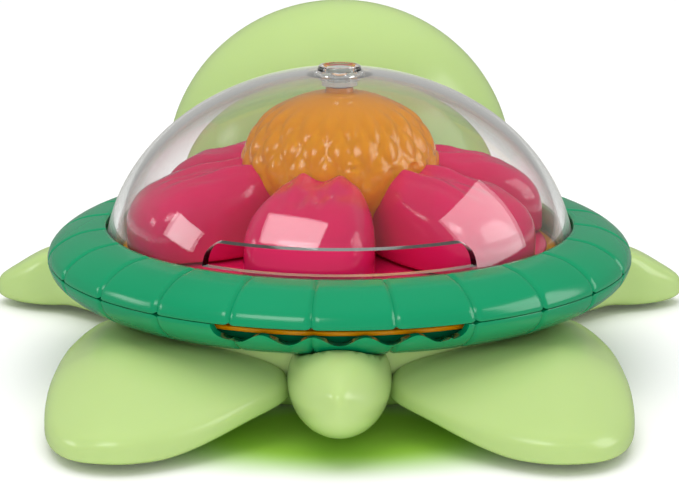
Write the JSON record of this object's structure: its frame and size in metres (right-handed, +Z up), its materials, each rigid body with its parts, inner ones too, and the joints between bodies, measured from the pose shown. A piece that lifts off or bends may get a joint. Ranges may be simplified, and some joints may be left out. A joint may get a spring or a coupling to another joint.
{
  "type": "garden sprinkler",
  "caption": "Turtle-shaped toy lawn sprinkler: a green shell ring and a clear dome over a turning flower, with lime head, flippers and tail and a hose swivel inlet.",
  "frame": {"origin": "on the ground, at the middle of the belly pan's flat foot, under the axis that the flower turns about", "axes": "+Z up, +Y towards the head, +X to the right as seen from the tail"},
  "size_m": [0.2564, 0.3116, 0.105],
  "materials": {
    "lime": "semi-gloss moulded polyethylene",
    "emerald": "gloss moulded ABS",
    "crimson": "gloss moulded ABS",
    "amber": "translucent moulded styrene",
    "clear": "clear moulded polycarbonate",
    "grey": "moulded acetal",
    "bearing": "moulded acetal",
    "rubber": "moulded nitrile rubber",
    "steel": "stainless steel",
    "eye": "gloss moulded ABS"
  },
  "bodies": {
    "body": {"belly_pan": "lime", "rear_flipper_left": "lime", "rear_flipper_right": "lime", "front_flipper_left": "lime", "front_flipper_right": "lime", "tail": "lime", "head_back": "lime", "head_front": "lime", "eye_left": "eye", "eye_right": "eye", "shell_ring_upper": "emerald", "shell_ring_lower": "emerald", "dome": "clear", "flower_tray": "amber", "thrust_washer": "steel", "standpipe": "grey", "inlet_pipe": "grey", "hose_tail": "grey", "spray_nozzle": "grey", "nozzle_o_ring": "rubber", "hose_washer": "rubber", "filter_screen": "steel", "ring_screw_1": "steel", "ring_screw_2": "steel", "ring_screw_3": "steel", "ring_screw_4": "steel", "base_screw_1": "steel", "base_screw_2": "steel", "base_screw_3": "steel", "base_screw_4": "steel"},
    "flower": {"flower_core": "amber", "petal_plate": "crimson", "petal_1": "crimson", "petal_2": "crimson", "petal_3": "crimson", "petal_4": "crimson", "petal_5": "crimson", "petal_6": "crimson", "impeller": "bearing", "bush_lower": "bearing", "bush_upper": "bearing"},
    "hose_nut": {"swivel_nut": "emerald"}
  },
  "joints": [
    {"name": "flower_spin", "type": "hinge", "parent": "body", "child": "flower", "pos_m": [0, 0, 0.06], "axis": [0, 0, 1], "continuous": true},
    {"name": "hose_swivel", "type": "hinge", "parent": "body", "child": "hose_nut", "pos_m": [-0.0705, 0.088, 0.017], "axis": [1, 0, 0], "continuous": true}
  ]
}
